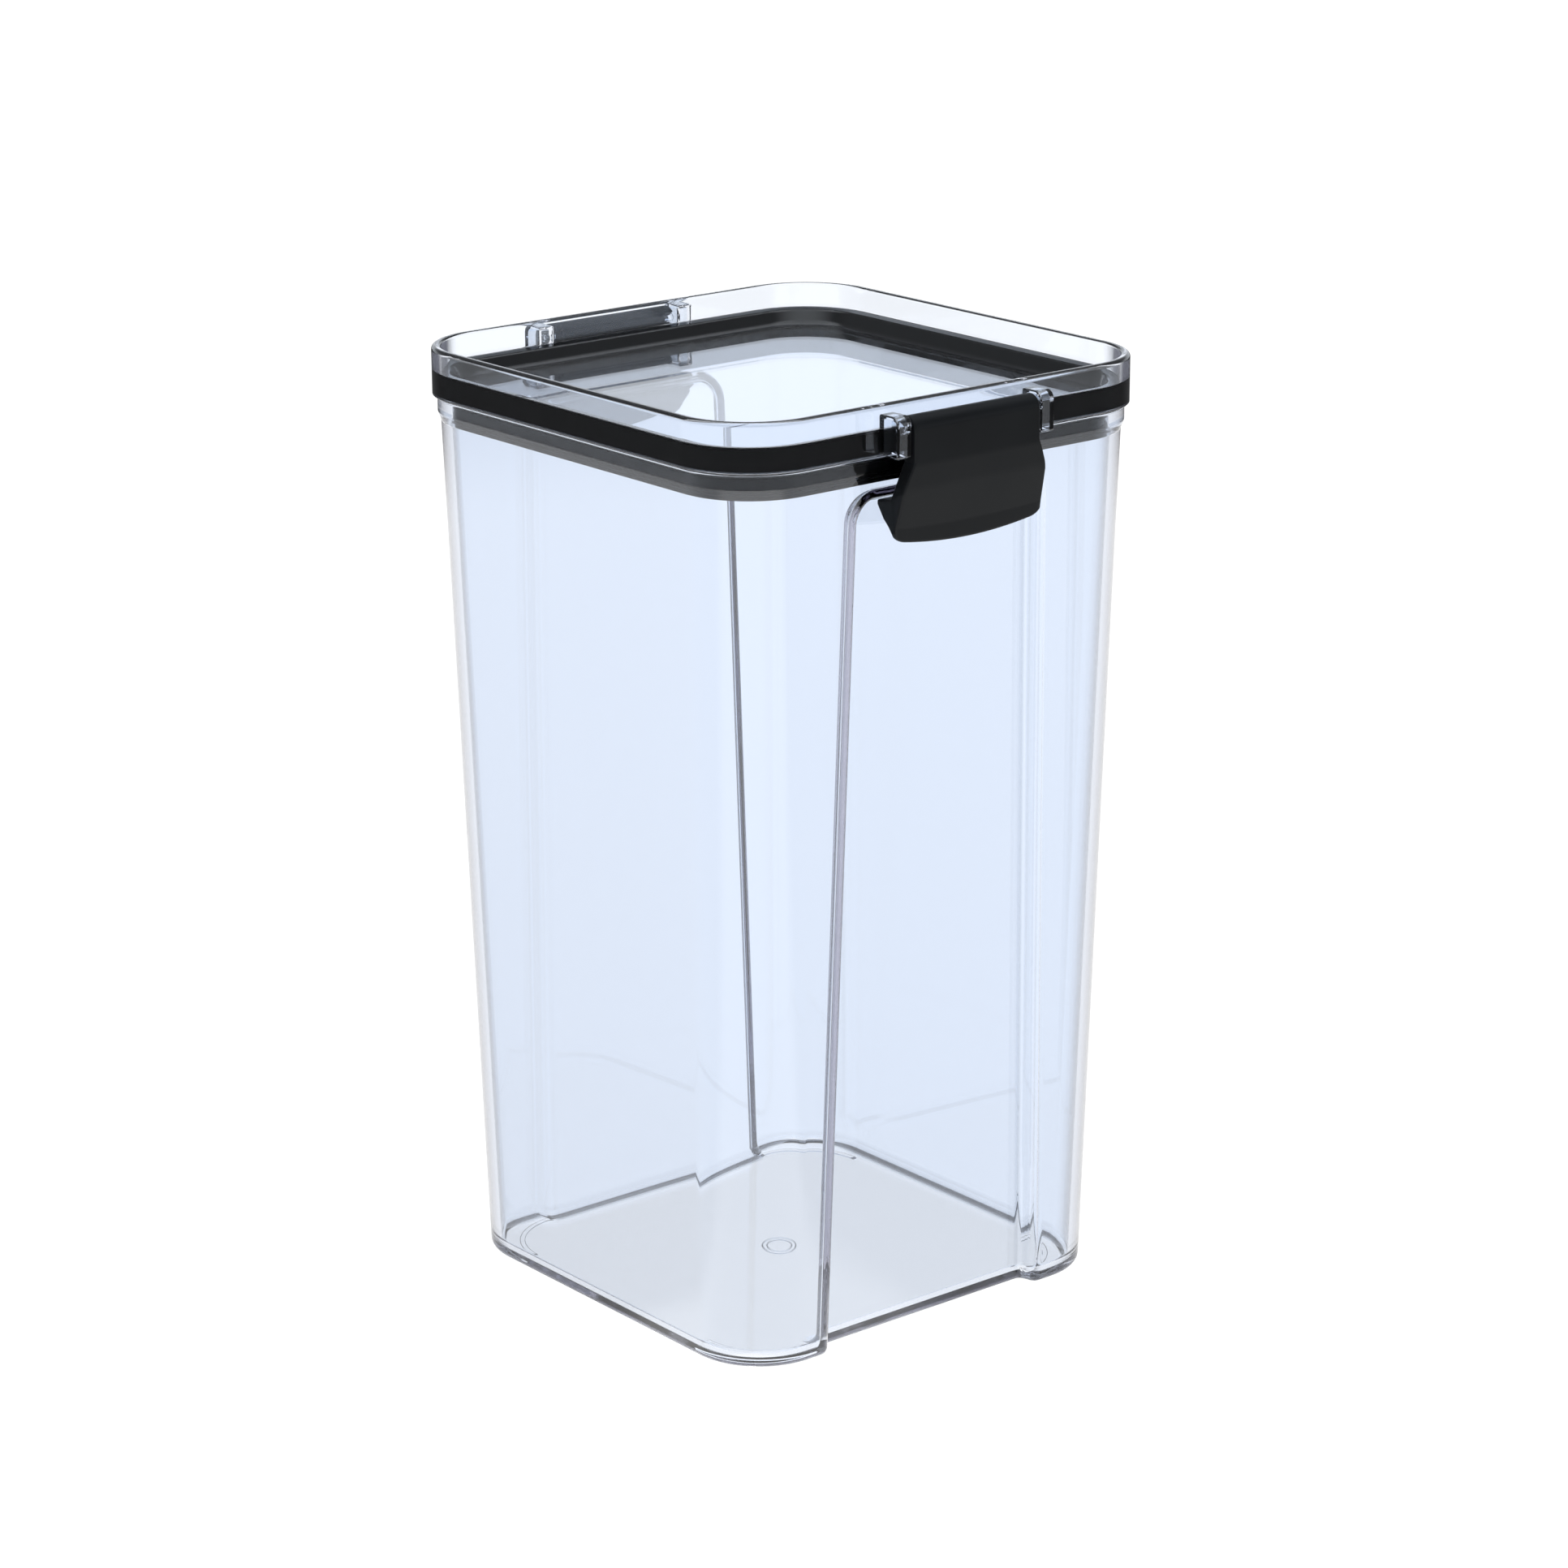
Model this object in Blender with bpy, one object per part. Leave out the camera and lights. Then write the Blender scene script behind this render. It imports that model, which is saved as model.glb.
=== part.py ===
"""Square airtight food canister: clear container, clear lid, gasket and two snap latches.

Sizes are in millimetres and turn into metres where a mesh is made. The origin is the
middle of the base, +Z is up, and the latches are on the -Y (front) and +Y (rear) faces.
A height called "down" is counted from the lid's top edge, and is negative below it.
An "inset" is counted from the lid's outer face inwards.
"""
from math import cos, pi, radians, sin

import bmesh
import bpy
from mathutils import Vector
from mathutils.geometry import tessellate_polygon

MM = 0.001

# Overall
HEIGHT = 183.6
LID_HALF = 51.5
LID_RADIUS = 16.0
CORNER_STEPS = 7

# Container
BASE_HALF = 46.05
DRAFT = 0.02387
BODY_RADIUS = 15.0
WALL = 2.0
FLOOR = 2.0
EDGE = 1.0
RIM_DOWN = -7.4
NECK_INSET = 2.1
COLLAR_INSET = 0.95
COLLAR_TOP = -9.8
COLLAR_BOTTOM = -12.6

# Grip recess in the two latch faces
RECESS_DEPTH = 3.5
RECESS_STEP = 1.6
RECESS_TOP_DOWN = -15.9
RECESS_HALF_TOP = 22.2
RECESS_HALF_BASE = 25.6
RECESS_FULL_DOWN = -21.0

# Lid
RIM_WALL = 1.8
LEDGE_DOWN = -5.6
LEDGE_THICK = 0.8
SKIRT_DOWN = -9.45
RECESS_WALL_INSET = 7.0
PANEL_DOWN = -7.8
PANEL_THICK = 1.6
PLUG_THICK = 1.4
PLUG_DOWN = -14.55

# Gasket
GASKET_TOP = -6.65
GASKET_BOTTOM = -14.9
FLANGE_INSET = 2.3
FLANGE_THICK = 0.5
SLEEVE_OUT = 4.4
SLEEVE_IN = 5.3
FIN_INSET = 3.65
FIN_THICK = 0.6
FIN_DOWNS = (-8.7, -11.0, -13.3)

# Ears and stub pins on the lid, which carry the latches
EAR_IN = 15.4
EAR_OUT = 18.8
EAR_REACH = 5.0
EAR_TOP = -1.6
EAR_BOTTOM = -9.3
PIN_OUT = 2.95
PIN_DOWN = -4.4
PIN_RADIUS = 0.75
PIN_TIP = 13.0
PIN_SIDES = 16

# Latch
BARREL_RADIUS = 2.5
BORE_RADIUS = 1.05
MOUTH_HALF_ANGLE = 38.0
BARREL_HALF_WIDTH = 15.05
LIP_HALF_WIDTH = 17.6
LIP_SAG = 1.6
LIP_SAG_FROM = -21.0
LATCH_STATIONS = (-1.0, -0.94, -0.78, -0.52, -0.26, 0.0, 0.26, 0.52, 0.78, 0.94, 1.0)

# Colours
CLEAR_TINT = (0.86, 0.91, 0.98)
BLACK_SILICONE = (0.012, 0.013, 0.015)
BLACK_PLASTIC = (0.015, 0.018, 0.020)


def clear_scene():
    """Remove every object of the open scene."""
    for obj in list(bpy.data.objects):
        bpy.data.objects.remove(obj, do_unlink=True)


def material(name, colour, roughness, transmission=0.0):
    """A Principled material with one colour."""
    mat = bpy.data.materials.new(name)
    mat.use_nodes = True
    bsdf = mat.node_tree.nodes["Principled BSDF"]
    bsdf.inputs["Base Color"].default_value = (*colour, 1.0)
    bsdf.inputs["Roughness"].default_value = roughness
    bsdf.inputs["Metallic"].default_value = 0.0
    bsdf.inputs["Transmission Weight"].default_value = transmission
    return mat


def height(down):
    """Height above the base of a level that is stated from the lid's top edge."""
    return HEIGHT + down


def add_object(name, bm, mat, origin=(0.0, 0.0, 0.0)):
    """Turn a bmesh in millimetres into a smooth-shaded object with its origin set."""
    bmesh.ops.recalc_face_normals(bm, faces=bm.faces[:])
    for vert in bm.verts:
        vert.co = [(a - b) * MM for a, b in zip(vert.co, origin)]
    mesh = bpy.data.meshes.new(name)
    bm.to_mesh(mesh)
    bm.free()
    mesh.materials.append(mat)
    mesh.shade_smooth()
    mesh.set_sharp_from_angle(angle=radians(35))
    obj = bpy.data.objects.new(name, mesh)
    obj.location = [a * MM for a in origin]
    bpy.context.scene.collection.objects.link(obj)
    return obj


def loft(loops, capped=True, cyclic=False):
    """Skin a list of loops that have the same number of points."""
    bm = bmesh.new()
    rings = [[bm.verts.new(p) for p in loop] for loop in loops]
    pairs = list(zip(rings, rings[1:]))
    if cyclic:
        pairs.append((rings[-1], rings[0]))
    for low, high in pairs:
        for i in range(len(low)):
            j = (i + 1) % len(low)
            bm.faces.new((low[i], low[j], high[j], high[i]))
    if capped:
        bm.faces.new(rings[0][::-1])
        bm.faces.new(rings[-1])
    return bm


def corner(half, radius, quadrant):
    """Points of one rounded corner, counter-clockwise; quadrant 0 is at +X +Y."""
    start = quadrant * pi / 2
    sx = 1 if quadrant in (0, 3) else -1
    sy = 1 if quadrant in (0, 1) else -1
    centre = (sx * (half - radius), sy * (half - radius))
    turns = [start + i / CORNER_STEPS * pi / 2 for i in range(CORNER_STEPS + 1)]
    return [(centre[0] + radius * cos(t), centre[1] + radius * sin(t)) for t in turns]


def square_loop(inset, down):
    """A rounded square parallel to the lid's outer face."""
    points = []
    for quadrant in range(4):
        points += corner(LID_HALF - inset, LID_RADIUS - inset, quadrant)
    return [(x, y, height(down)) for x, y in points]


def recess_side(half, depth, width):
    """Half outline of a recess: points from its shoulder to its floor, as x and y."""
    shape = ((1.0, 0.0), (0.5, 0.12), (0.0, 0.5), (-0.5, 0.88), (-1.0, 1.0))
    return [(width + a * RECESS_STEP, half - b * depth) for a, b in shape]


def notched_loop(half, radius, z, depth, width):
    """A rounded square whose +Y and -Y faces are recessed over a half-width."""
    side = recess_side(half, depth, width)
    back = side + [(-x, y) for x, y in reversed(side)]
    front = [(-x, -y) for x, y in back]
    points = corner(half, radius, 0) + back + corner(half, radius, 1)
    points += corner(half, radius, 2) + front + corner(half, radius, 3)
    return [(x, y, z) for x, y in points]


def body_half(z):
    """Half-width of the container's outer face at a height, from its draft."""
    return BASE_HALF + DRAFT * z


def recess_half(z):
    """Half-width of the recess at a height, below its rounded top corners."""
    full = height(RECESS_FULL_DOWN)
    return RECESS_HALF_BASE + (RECESS_HALF_TOP - RECESS_HALF_BASE) * z / full


def recess_roof(lift, widen):
    """Levels of the recess's rounded top: height, depth and half-width of each."""
    shape = ((0.0, 0.0, -5.7), (0.5, 0.1, -4.3), (1.0, 0.37, -3.1),
             (1.5, 0.82, -2.2), (2.1, 1.0, -1.4), (3.1, 1.0, -0.6))
    return [(height(RECESS_TOP_DOWN - drop) + lift, part * RECESS_DEPTH,
             RECESS_HALF_TOP + narrow + widen) for drop, part, narrow in shape]


def container_outside():
    """Loops of the container's outer face, from the base up to the rim."""
    loops = []
    for inset, z in ((EDGE, 0.0), (0.3 * EDGE, 0.3 * EDGE), (0.0, EDGE)):
        loops.append(notched_loop(body_half(z) - inset, BODY_RADIUS - inset, z,
                                  RECESS_DEPTH, recess_half(z) + inset))
    full = height(RECESS_FULL_DOWN)
    for part in (0.25, 0.5, 0.75, 1.0):
        z = part * full
        loops.append(notched_loop(body_half(z), BODY_RADIUS, z, RECESS_DEPTH, recess_half(z)))
    for z, depth, width in reversed(recess_roof(0.0, 0.0)):
        loops.append(notched_loop(body_half(z), BODY_RADIUS, z, depth, width))
    top_width = RECESS_HALF_TOP - 5.7
    upper = ((1.45, COLLAR_BOTTOM - 1.3), (1.25, COLLAR_BOTTOM - 0.5), (COLLAR_INSET, COLLAR_BOTTOM),
             (COLLAR_INSET, COLLAR_TOP - 0.35), (COLLAR_INSET + 0.35, COLLAR_TOP),
             (NECK_INSET, COLLAR_TOP), (NECK_INSET, RIM_DOWN - 0.25), (NECK_INSET + 0.25, RIM_DOWN))
    for inset, down in upper:
        loops.append(notched_loop(LID_HALF - inset, LID_RADIUS - inset, height(down),
                                  0.0, top_width))
    return loops


def container_inside():
    """Loops of the container's inner face, from the rim down to the floor."""
    loops = []
    radius = BODY_RADIUS - WALL
    top_width = RECESS_HALF_TOP - 5.7
    rim = height(RIM_DOWN)
    for z, inset in ((rim, 0.25), (rim - 0.25, 0.0), (height(COLLAR_BOTTOM - 1.3), 0.0)):
        loops.append(notched_loop(body_half(z) - WALL - inset, radius - inset, z, 0.0, top_width))
    for z, depth, width in recess_roof(WALL - 1.1, WALL):
        loops.append(notched_loop(body_half(z) - WALL, radius, z, depth, width))
    full = height(RECESS_FULL_DOWN)
    for part in (1.0, 0.75, 0.5, 0.25):
        z = part * full
        loops.append(notched_loop(body_half(z) - WALL, radius, z, RECESS_DEPTH,
                                  recess_half(z) + WALL))
    for inset, lift in ((0.0, EDGE), (0.3 * EDGE, 0.3 * EDGE), (EDGE, 0.0)):
        z = FLOOR + lift
        loops.append(notched_loop(body_half(z) - WALL - inset, radius - inset, z,
                                  RECESS_DEPTH, recess_half(z) + WALL + inset))
    return loops


def make_container(mat):
    """The clear tapered container, one closed shell with its mouth open."""
    return add_object("container", loft(container_outside() + container_inside()), mat)


def lid_profile():
    """Insets and levels of the lid's section, from the window's edge round to its underside."""
    wall = RECESS_WALL_INSET
    ledge_under = LEDGE_DOWN - LEDGE_THICK
    under = PANEL_DOWN - PANEL_THICK
    plug_out = wall - PLUG_THICK
    return (
        (wall + 0.5, PANEL_DOWN), (wall, PANEL_DOWN + 0.5),
        (wall, LEDGE_DOWN - 0.4), (wall - 0.4, LEDGE_DOWN),
        (RIM_WALL + 0.6, LEDGE_DOWN), (RIM_WALL, LEDGE_DOWN + 0.6),
        (RIM_WALL, -0.5), (RIM_WALL - 0.5, 0.0), (0.5, 0.0), (0.0, -0.5),
        (0.0, SKIRT_DOWN + 0.5), (0.5, SKIRT_DOWN), (RIM_WALL - 0.4, SKIRT_DOWN),
        (RIM_WALL, SKIRT_DOWN + 0.4), (RIM_WALL, ledge_under), (plug_out, ledge_under),
        (plug_out, PLUG_DOWN + 0.25), (plug_out + 0.25, PLUG_DOWN),
        (wall - 0.25, PLUG_DOWN), (wall, PLUG_DOWN + 0.25),
        (wall, under - 0.5), (wall + 0.5, under),
    )


def ear_body(side, sign):
    """One ear as a closed block across X; side is -1 front or 1 rear, sign the end in X."""
    outline = ((-0.9, EAR_TOP - 0.1), (EAR_REACH - 1.1, EAR_TOP), (EAR_REACH - 0.35, EAR_TOP - 0.4),
               (EAR_REACH, EAR_TOP - 1.2), (EAR_REACH, EAR_BOTTOM + 0.5),
               (EAR_REACH - 0.5, EAR_BOTTOM), (-0.9, EAR_BOTTOM + 0.4))
    return loft([[(sign * x, side * (LID_HALF + out), height(down)) for out, down in outline]
                 for x in (EAR_IN, EAR_OUT)])


def pin_body(side, sign):
    """One stub pin as a closed rod that starts inside its ear."""
    turns = [2 * pi * i / PIN_SIDES for i in range(PIN_SIDES)]
    loops = []
    for x, radius in ((EAR_IN + 1.2, PIN_RADIUS), (PIN_TIP + 0.2, PIN_RADIUS),
                      (PIN_TIP, PIN_RADIUS - 0.2)):
        loops.append([(sign * x, side * (LID_HALF + PIN_OUT) + radius * cos(t),
                       height(PIN_DOWN) + radius * sin(t)) for t in turns])
    return loft(loops)


def join_solid(target, bm):
    """Add a closed body to an object by an exact boolean union."""
    tool = add_object("tool", bm, target.data.materials[0])
    union = target.modifiers.new("union", "BOOLEAN")
    union.operation = "UNION"
    union.solver = "EXACT"
    union.object = tool
    graph = bpy.context.evaluated_depsgraph_get()
    mesh = bpy.data.meshes.new_from_object(target.evaluated_get(graph))
    target.modifiers.clear()
    target.data = mesh
    bpy.data.objects.remove(tool, do_unlink=True)


def make_lid(mat):
    """The clear lid with its window, its plug wall, and four ears with their stub pins."""
    lid = add_object("lid", loft([square_loop(i, d) for i, d in lid_profile()]), mat)
    for side in (-1, 1):
        for sign in (-1, 1):
            join_solid(lid, ear_body(side, sign))
            join_solid(lid, pin_body(side, sign))
    lid.data.shade_smooth()
    lid.data.set_sharp_from_angle(angle=radians(35))
    return lid


def gasket_profile():
    """Insets and levels of the gasket's section: a sleeve with a flange and three fins."""
    profile = [(SLEEVE_IN, GASKET_BOTTOM), (SLEEVE_IN, GASKET_TOP), (FLANGE_INSET, GASKET_TOP),
               (FLANGE_INSET, GASKET_TOP - FLANGE_THICK), (SLEEVE_OUT, GASKET_TOP - FLANGE_THICK)]
    for down in FIN_DOWNS:
        profile += [(SLEEVE_OUT, down + FIN_THICK / 2), (FIN_INSET, down + 0.1),
                    (FIN_INSET, down - 0.2), (SLEEVE_OUT, down - FIN_THICK / 2)]
    profile.append((SLEEVE_OUT, GASKET_BOTTOM))
    return profile


def make_gasket(mat):
    """The black silicone gasket that seals the plug wall in the container's mouth."""
    loops = [square_loop(inset, down) for inset, down in gasket_profile()]
    return add_object("gasket", loft(loops, capped=False, cyclic=True), mat)


def arc(radius, first, last, steps):
    """Points of an arc about the latch's axis, with angles in degrees."""
    turns = [radians(first + (last - first) * i / steps) for i in range(steps + 1)]
    return [(PIN_OUT + radius * cos(t), PIN_DOWN + radius * sin(t)) for t in turns]


def latch_profile():
    """Section of a latch: how far out from the lid's face, and how far down."""
    front = [(5.45, -10.7), (5.25, -13.4), (4.75, -16.0), (4.1, -18.4),
             (3.5, -20.8), (3.15, -23.2), (2.95, -24.3)]
    lip = [(2.6, -24.75), (2.1, -24.6)]
    nose = [(0.9, -22.9), (-0.6, -21.0), (-2.0, -19.2), (-2.6, -18.2),
            (-2.6, -17.75), (-2.2, -17.4)]
    back = [(1.25, -17.0), (1.65, -16.4), (2.35, -10.6), (2.2, -8.3), (1.55, -6.9)]
    outer = arc(BARREL_RADIUS, 180 - MOUTH_HALF_ANGLE, 0, 10)
    bore = arc(BORE_RADIUS, 180 + MOUTH_HALF_ANGLE, 540 - MOUTH_HALF_ANGLE, 12)
    jaw = arc(BARREL_RADIUS, 180 + MOUTH_HALF_ANGLE, 180 + MOUTH_HALF_ANGLE, 1)[:1]
    return outer + front + lip + nose + back + jaw + bore


def latch_half_width(down):
    """Half-width of a latch at a level: narrow between the ears, wider below them."""
    start, end = -10.2, -19.5
    part = min(max((start - down) / (start - end), 0.0), 1.0)
    return BARREL_HALF_WIDTH + (LIP_HALF_WIDTH - BARREL_HALF_WIDTH) * (1 - (1 - part) ** 2)


def latch_loop(side, station):
    """The latch's section at one station across its width, from -1 to 1."""
    points = []
    for out, down in latch_profile():
        x = station * latch_half_width(down)
        sag = max(LIP_SAG_FROM - down, 0.0) / 3.7 * LIP_SAG
        drop = sag * (1 - station * station) - 0.35 * sag * abs(station) ** 12
        points.append((x, side * (LID_HALF + out), height(down - drop)))
    return points


def make_latch(name, side, mat):
    """A snap latch; its origin is on the axis of its two stub pins."""
    bm = loft([latch_loop(side, station) for station in LATCH_STATIONS], capped=False)
    outline = [Vector((out, down, 0.0)) for out, down in latch_profile()]
    bm.verts.ensure_lookup_table()
    last = len(bm.verts) - len(outline)
    for a, b, c in tessellate_polygon([outline]):
        bm.faces.new([bm.verts[i] for i in (a, b, c)])
        bm.faces.new([bm.verts[last + i] for i in (c, b, a)])
    axis = (0.0, side * (LID_HALF + PIN_OUT), height(PIN_DOWN))
    return add_object(name, bm, mat, axis)


def main():
    """Build the five pieces of the canister."""
    clear_scene()
    make_container(material("container_clear", CLEAR_TINT, 0.05, 1.0))
    make_lid(material("lid_clear", CLEAR_TINT, 0.05, 1.0))
    make_gasket(material("gasket_silicone", BLACK_SILICONE, 0.55))
    make_latch("front_latch", -1, material("front_latch_plastic", BLACK_PLASTIC, 0.4))
    make_latch("rear_latch", 1, material("rear_latch_plastic", BLACK_PLASTIC, 0.4))


main()
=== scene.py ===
"""Looks of a square airtight food canister: clear body and lid, black gasket and latches.

Shapes are worked out in millimetres and turn into metres where a mesh is made. A level
called "down" is counted from the lid's top edge, and is negative below it. An "inset" is
counted inwards from the lid's outer face, and "out" outwards from its front or rear face.
"""

from math import cos, pi, radians, sin, tan

import bmesh
import bpy
import numpy as np
from mathutils import Matrix, Vector
from mathutils.geometry import tessellate_polygon


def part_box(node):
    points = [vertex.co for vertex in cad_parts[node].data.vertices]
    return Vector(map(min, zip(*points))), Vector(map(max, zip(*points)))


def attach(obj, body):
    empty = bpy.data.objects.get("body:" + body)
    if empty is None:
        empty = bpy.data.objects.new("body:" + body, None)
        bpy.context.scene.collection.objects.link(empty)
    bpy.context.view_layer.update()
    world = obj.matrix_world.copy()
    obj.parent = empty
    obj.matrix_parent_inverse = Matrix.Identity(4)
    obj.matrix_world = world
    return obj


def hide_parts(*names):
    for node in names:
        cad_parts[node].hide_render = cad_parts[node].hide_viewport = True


MM = 0.001
SHARP = radians(38)

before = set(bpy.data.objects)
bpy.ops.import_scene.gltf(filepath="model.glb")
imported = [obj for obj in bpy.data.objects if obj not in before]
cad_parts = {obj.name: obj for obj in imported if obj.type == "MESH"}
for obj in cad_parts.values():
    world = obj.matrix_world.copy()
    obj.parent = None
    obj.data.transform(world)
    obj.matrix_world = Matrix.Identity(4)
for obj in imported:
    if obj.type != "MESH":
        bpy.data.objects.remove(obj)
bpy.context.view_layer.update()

# Driving dimensions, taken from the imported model, and the latch's barrel on its pins
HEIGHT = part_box("lid")[1].z / MM
LID_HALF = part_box("lid")[1].x / MM
RIM_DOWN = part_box("container")[1].z / MM - HEIGHT
LATCH_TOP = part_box("front_latch")[1].z / MM - HEIGHT
BARREL_RADIUS = 2.5
PIN_DOWN = LATCH_TOP - BARREL_RADIUS
LID_RADIUS = 16.0

# Container
BASE_HALF = 46.05
DRAFT = 0.02387
BODY_RADIUS = 15.0
WALL = 2.0
FLOOR = 1.5
BASE_EDGE = 1.5
FLOOR_FILLET = 2.4
NECK_INSET = 2.1
COLLAR_INSET = 0.95
COLLAR_TOP = -9.8
COLLAR_BOTTOM = -12.6
COLLAR_END = -13.9
RIM_ROUND = 0.4
FINE_FROM = -23.4

# Finger recess of the two latch faces
RECESS_DEPTH = 3.5
RECESS_TOP = -17.3
RECESS_CORNER = 4.9
RECESS_HALF_TOP = 22.3
RECESS_HALF_BASE = 26.3
RECESS_TOP_LEVEL = -21.0
SHOULDER_RADIUS = 2.2
HOLLOW_RADIUS = 0.7
STEP_ANGLE = radians(74)
STEP_REACH = (-7.6, 3.01)
STEP_PITCH = 0.2

# Feet and gate mark under the floor
FOOT_LIFT = 0.25
FOOT_CENTRE = 27.0
FOOT_RADIUS = 13.5
FOOT_WIDTH = 1.1
GATE_RADII = (3.0, 4.1)
GATE_WIDTH = 0.35
RIB_SINK = 0.3

# Lid
RIM_WALL = 1.8
RIDGE_INSET = 4.0
RIDGE_DOWN = -4.95
LEDGE_DOWN = -4.75
SKIRT_DOWN = -9.45
WELL_INSET = 7.0
PANEL_DOWN = -7.8
PANEL_UNDER = -9.4
SEAT_INSET = 3.45
SEAT_DOWN = -5.1
PLUG_OUT = 5.6
PLUG_DOWN = -14.55

# Gasket
GASKET_BOTTOM = -14.9
FLANGE_UNDER = -7.15
LIP_DOWN = -9.15
SLEEVE_OUT = 4.4
PRESSED = 0.04
FIN_INSET = 3.65
FIN_DOWNS = (-8.7, -11.0, -13.3)

# Ears and stub pins of the lid
EAR_IN = 15.4
EAR_OUT = 18.8
EAR_REACH = 5.0
EAR_TOP = -1.5
EAR_BOTTOM = -9.3
EAR_SHELL = 0.8
PIN_OUT = 2.95
PIN_RADIUS = 0.75
PIN_TIP = 13.0

# Latch
BORE_RADIUS = 1.05
MOUTH_HALF_ANGLE = 38.0
LATCH_HALF_TOP = 15.05
LATCH_HALF_LOW = 17.6
LATCH_WIDEN = (-10.2, -19.5)
LIP_SAG = 1.6
LIP_SAG_FROM = -21.0
LIP_HEIGHT = 3.7
LATCH_ROUND = 0.45
SLOT_INNER = 12.6
SLOT_STEPS = 24
RIB_DEPTH = 0.22
RIB_COUNT = 3
LIP_CORNER = 2.4

# Clear plastic: colours of upright and level faces, the floor's lighter colour being painted light,
# painted shade towards the base, darkening with thickness, frost under the base, and the painted
# shade that faces take as they turn away from the eye, near black on the lid as the seal's painted
# dark image
CLEAR_IOR = 1.57
BODY_TINT = (0.835, 0.885, 0.96)
LID_TINT = (0.90, 0.935, 0.985)
# painted light: the body's floor takes a lighter colour than its walls
FLOOR_TINT_PAINTED_LIGHT = (0.965, 0.98, 1.0)
PANEL_TINT = (0.86, 0.91, 0.985)
# painted shade: share of the body's colour left at its base, darker towards the bottom
PAINTED_BASE_SHADE = 0.975
ABSORB = 12.0
DEEP = (0.20, 0.16, 0.34)
BASE_FROST = 0.35
MIDDLE_FROST = 0.15
FROST_RISE = (1.0, 1.45)
# painted shade on the body's outline
EDGE_SHADE = (0.38, 0.34, 0.31)
EDGE_TURN = (0.35, 0.85)
# painted shade, near black, on the lid's corners: a painted dark image of the black seal
CORNER_SHADE = (0.03, 0.03, 0.04)
CORNER_TURN = (0.36, 0.62)
BODY_WAVE = 0.000025
LID_WAVE = 0.00002

# Black parts: darkest and palest colour, roughness range, and grain
SILICONE = ((0.0035, 0.0035, 0.004), (0.0075, 0.0075, 0.0085))
SATIN = ((0.0040, 0.0047, 0.0056), (0.0065, 0.0077, 0.0090))
GRAIN = 0.00001
SCUFF = 0.000015

# Camera, and light of the room and the table
CAMERA_PLACE = (-534.479, -657.728, 357.540)
CAMERA_TARGET = (0.46, -0.372, 97.377)
CAMERA_ROLL = -0.286
LENS = 104.82
SENSOR = 36.0
AHEAD = (0.631, 0.776)
SKY = (0.88, 0.93, 1.0)
CEILING = 1.6
CEILING_RISE = (0.66, 0.86)
WALLS = 0.28
LOW_WALLS = 1.0
LOW_RISE = (0.22, 0.36)
BACKDROP = 1.2
BACKDROP_RISE = (0.28, 0.45)
BACKDROP_WIDTH = (0.55, 0.85)
TABLE_HALF = 6000.0
TABLE_DOWN = -0.05
TABLE_GLOW = 1.08
# seen only in reflections: painted darkness far away, a painted pool of light near the object, and
# a painted highlight from the camera's side
FAR_TABLE = 0.06
POOL = (0.60, 0.78)
NEAR_GLOW = 0.9
NEAR_SIDE = (0.66, 0.84)


def height(down):
    """Height above the base of a level that is stated from the lid's top edge."""
    return HEIGHT + down


def body_half(z):
    """Half-width of the container's outer face at a height, from its draft."""
    return BASE_HALF + DRAFT * z


# ---------------------------------------------------------------- meshes

def mesh_object(name, verts, faces, mat, body, replaces=()):
    """A smooth-shaded object from points in millimetres, riding on a CAD body."""
    mesh = bpy.data.meshes.new(name)
    mesh.from_pydata([[a * MM for a in v] for v in verts], [], faces)
    mesh.validate()
    bm = bmesh.new()
    bm.from_mesh(mesh)
    bmesh.ops.recalc_face_normals(bm, faces=bm.faces[:])
    bm.to_mesh(mesh)
    bm.free()
    mesh.materials.append(mat)
    mesh.shade_smooth()
    mesh.set_sharp_from_angle(angle=SHARP)
    obj = bpy.data.objects.new(name, mesh)
    bpy.context.scene.collection.objects.link(obj)
    even_normals(obj)
    if body:
        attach(obj, body)
    if replaces:
        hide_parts(*replaces)
    return obj


def even_normals(obj):
    """Normals weighted by face area, so that wide flat faces stay flat beside rounds."""
    weighted = obj.modifiers.new("even normals", "WEIGHTED_NORMAL")
    weighted.keep_sharp = True
    weighted.weight = 50
    return weighted


def skin(loops, capped=True, cyclic=False):
    """Points and faces that skin a list of loops with equal numbers of points."""
    count = len(loops[0])
    verts = [tuple(map(float, p)) for loop in loops for p in loop]
    rows = list(range(len(loops) - 1))
    pairs = [(r, r + 1) for r in rows] + ([(len(loops) - 1, 0)] if cyclic else [])
    faces = []
    for a, b in pairs:
        for i in range(count):
            j = (i + 1) % count
            faces.append((a * count + i, a * count + j, b * count + j, b * count + i))
    if capped:
        faces.append(tuple(range(count))[::-1])
        faces.append(tuple((len(loops) - 1) * count + i for i in range(count)))
    return verts, faces


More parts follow.
